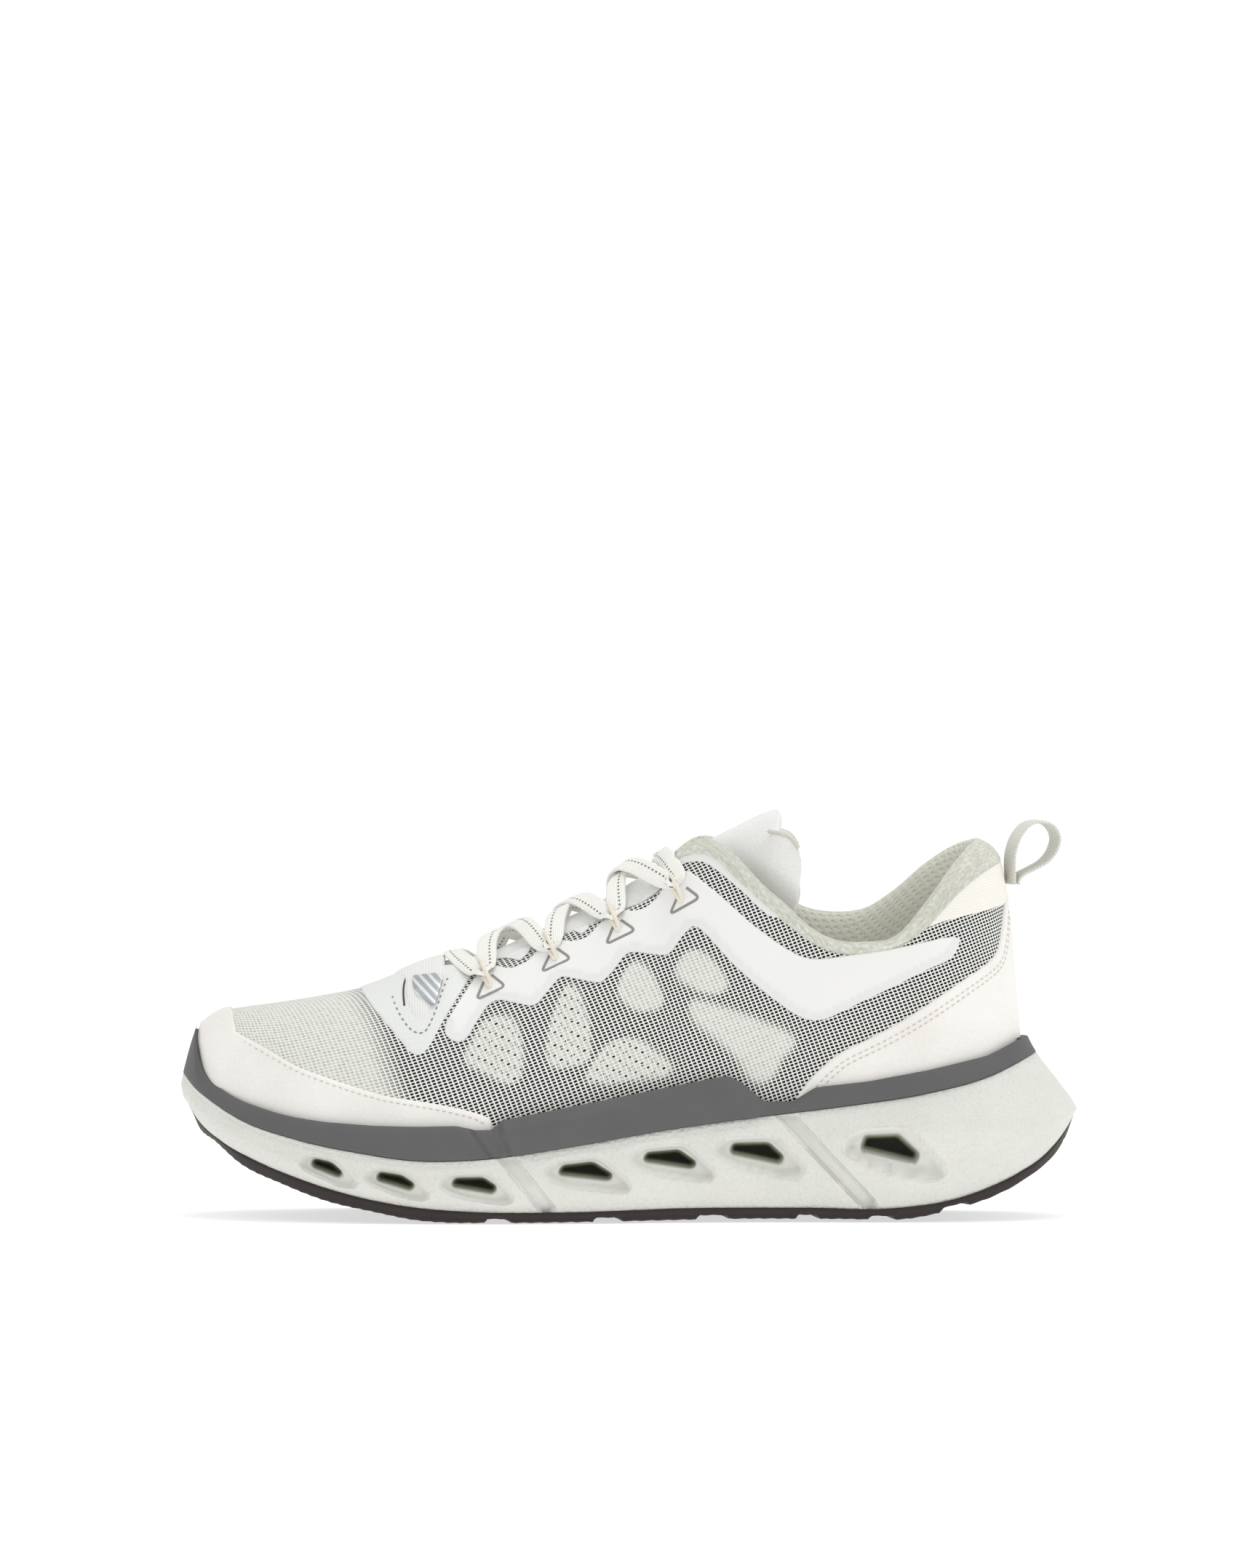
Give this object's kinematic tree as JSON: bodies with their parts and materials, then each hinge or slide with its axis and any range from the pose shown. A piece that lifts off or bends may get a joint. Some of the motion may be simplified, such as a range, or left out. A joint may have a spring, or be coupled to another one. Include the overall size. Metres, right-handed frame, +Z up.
{
  "type": "running shoe",
  "caption": "Left running shoe with a thick scooped foam midsole, dark rubber tread, knit upper with pale overlays, padded collar, lace and heel pull loop.",
  "frame": {"origin": "on the ground, under the middle of the shoe's length and width", "axes": "-X towards the toe, +X towards the heel, -Y towards the outer (lateral) side, +Z up"},
  "size_m": [0.3002, 0.1094, 0.1363],
  "materials": {
    "outsole_rubber": "matte",
    "midsole_foam": "matte",
    "frame_grey": "matte",
    "board": "matte",
    "insole_foam": "matte",
    "knit_white": "matte",
    "lining_white": "matte",
    "stiffener": "matte",
    "leather_white": "satin",
    "twill_white": "matte",
    "film_pale": "satin",
    "cage_white": "satin",
    "underlay_white": "matte",
    "collar_knit": "matte",
    "foam": "matte",
    "tongue_white": "matte",
    "keeper_grey": "satin",
    "lace_white": "matte",
    "aglet": "gloss",
    "cord_cream": "matte",
    "webbing": "matte"
  },
  "bodies": {
    "root": {"aglet_tail": "aglet", "aglet_top": "aglet", "cage_lateral": "cage_white", "cage_medial": "cage_white", "collar_foam": "foam", "collar_lining": "collar_knit", "eyestay_lateral": "film_pale", "eyestay_medial": "film_pale", "heel_counter": "stiffener", "heel_overlay": "leather_white", "heel_panel": "twill_white", "insole": "insole_foam", "lace": "lace_white", "lace_loop_1_lateral": "cord_cream", "lace_loop_1_medial": "cord_cream", "lace_loop_2_lateral": "cord_cream", "lace_loop_2_medial": "cord_cream", "lace_loop_3_lateral": "cord_cream", "lace_loop_3_medial": "cord_cream", "lace_loop_4_lateral": "cord_cream", "lace_loop_4_medial": "cord_cream", "mesh_upper": "knit_white", "midsole": "midsole_foam", "midsole_frame": "frame_grey", "outsole": "outsole_rubber", "strobel_board": "board", "throat_overlay": "film_pale", "toe_cap": "leather_white", "toe_puff": "stiffener", "tongue": "tongue_white", "tongue_keeper": "keeper_grey", "underlay_front_lateral": "underlay_white", "underlay_front_medial": "underlay_white", "underlay_middle_lateral": "underlay_white", "underlay_middle_medial": "underlay_white", "underlay_rear_lateral": "underlay_white", "underlay_rear_medial": "underlay_white", "vamp_lining": "lining_white"},
    "pull_loop_body": {"pull_loop": "webbing"},
    "tongue_top_body": {"tongue_top": "tongue_white"}
  },
  "joints": [
    {"name": "pull_loop_hinge", "type": "hinge", "parent": "root", "child": "pull_loop_body", "pos_m": [0.1287, -0.0009, 0.1108], "axis": [0, 1, 0], "range_deg": [-6, 70], "stiffness_Nm_per_rad": 0.01},
    {"name": "tongue_top_hinge", "type": "hinge", "parent": "root", "child": "tongue_top_body", "pos_m": [0.0126, -0.0036, 0.117], "axis": [0, 1, 0], "range_deg": [-20, 10], "stiffness_Nm_per_rad": 0.05}
  ]
}
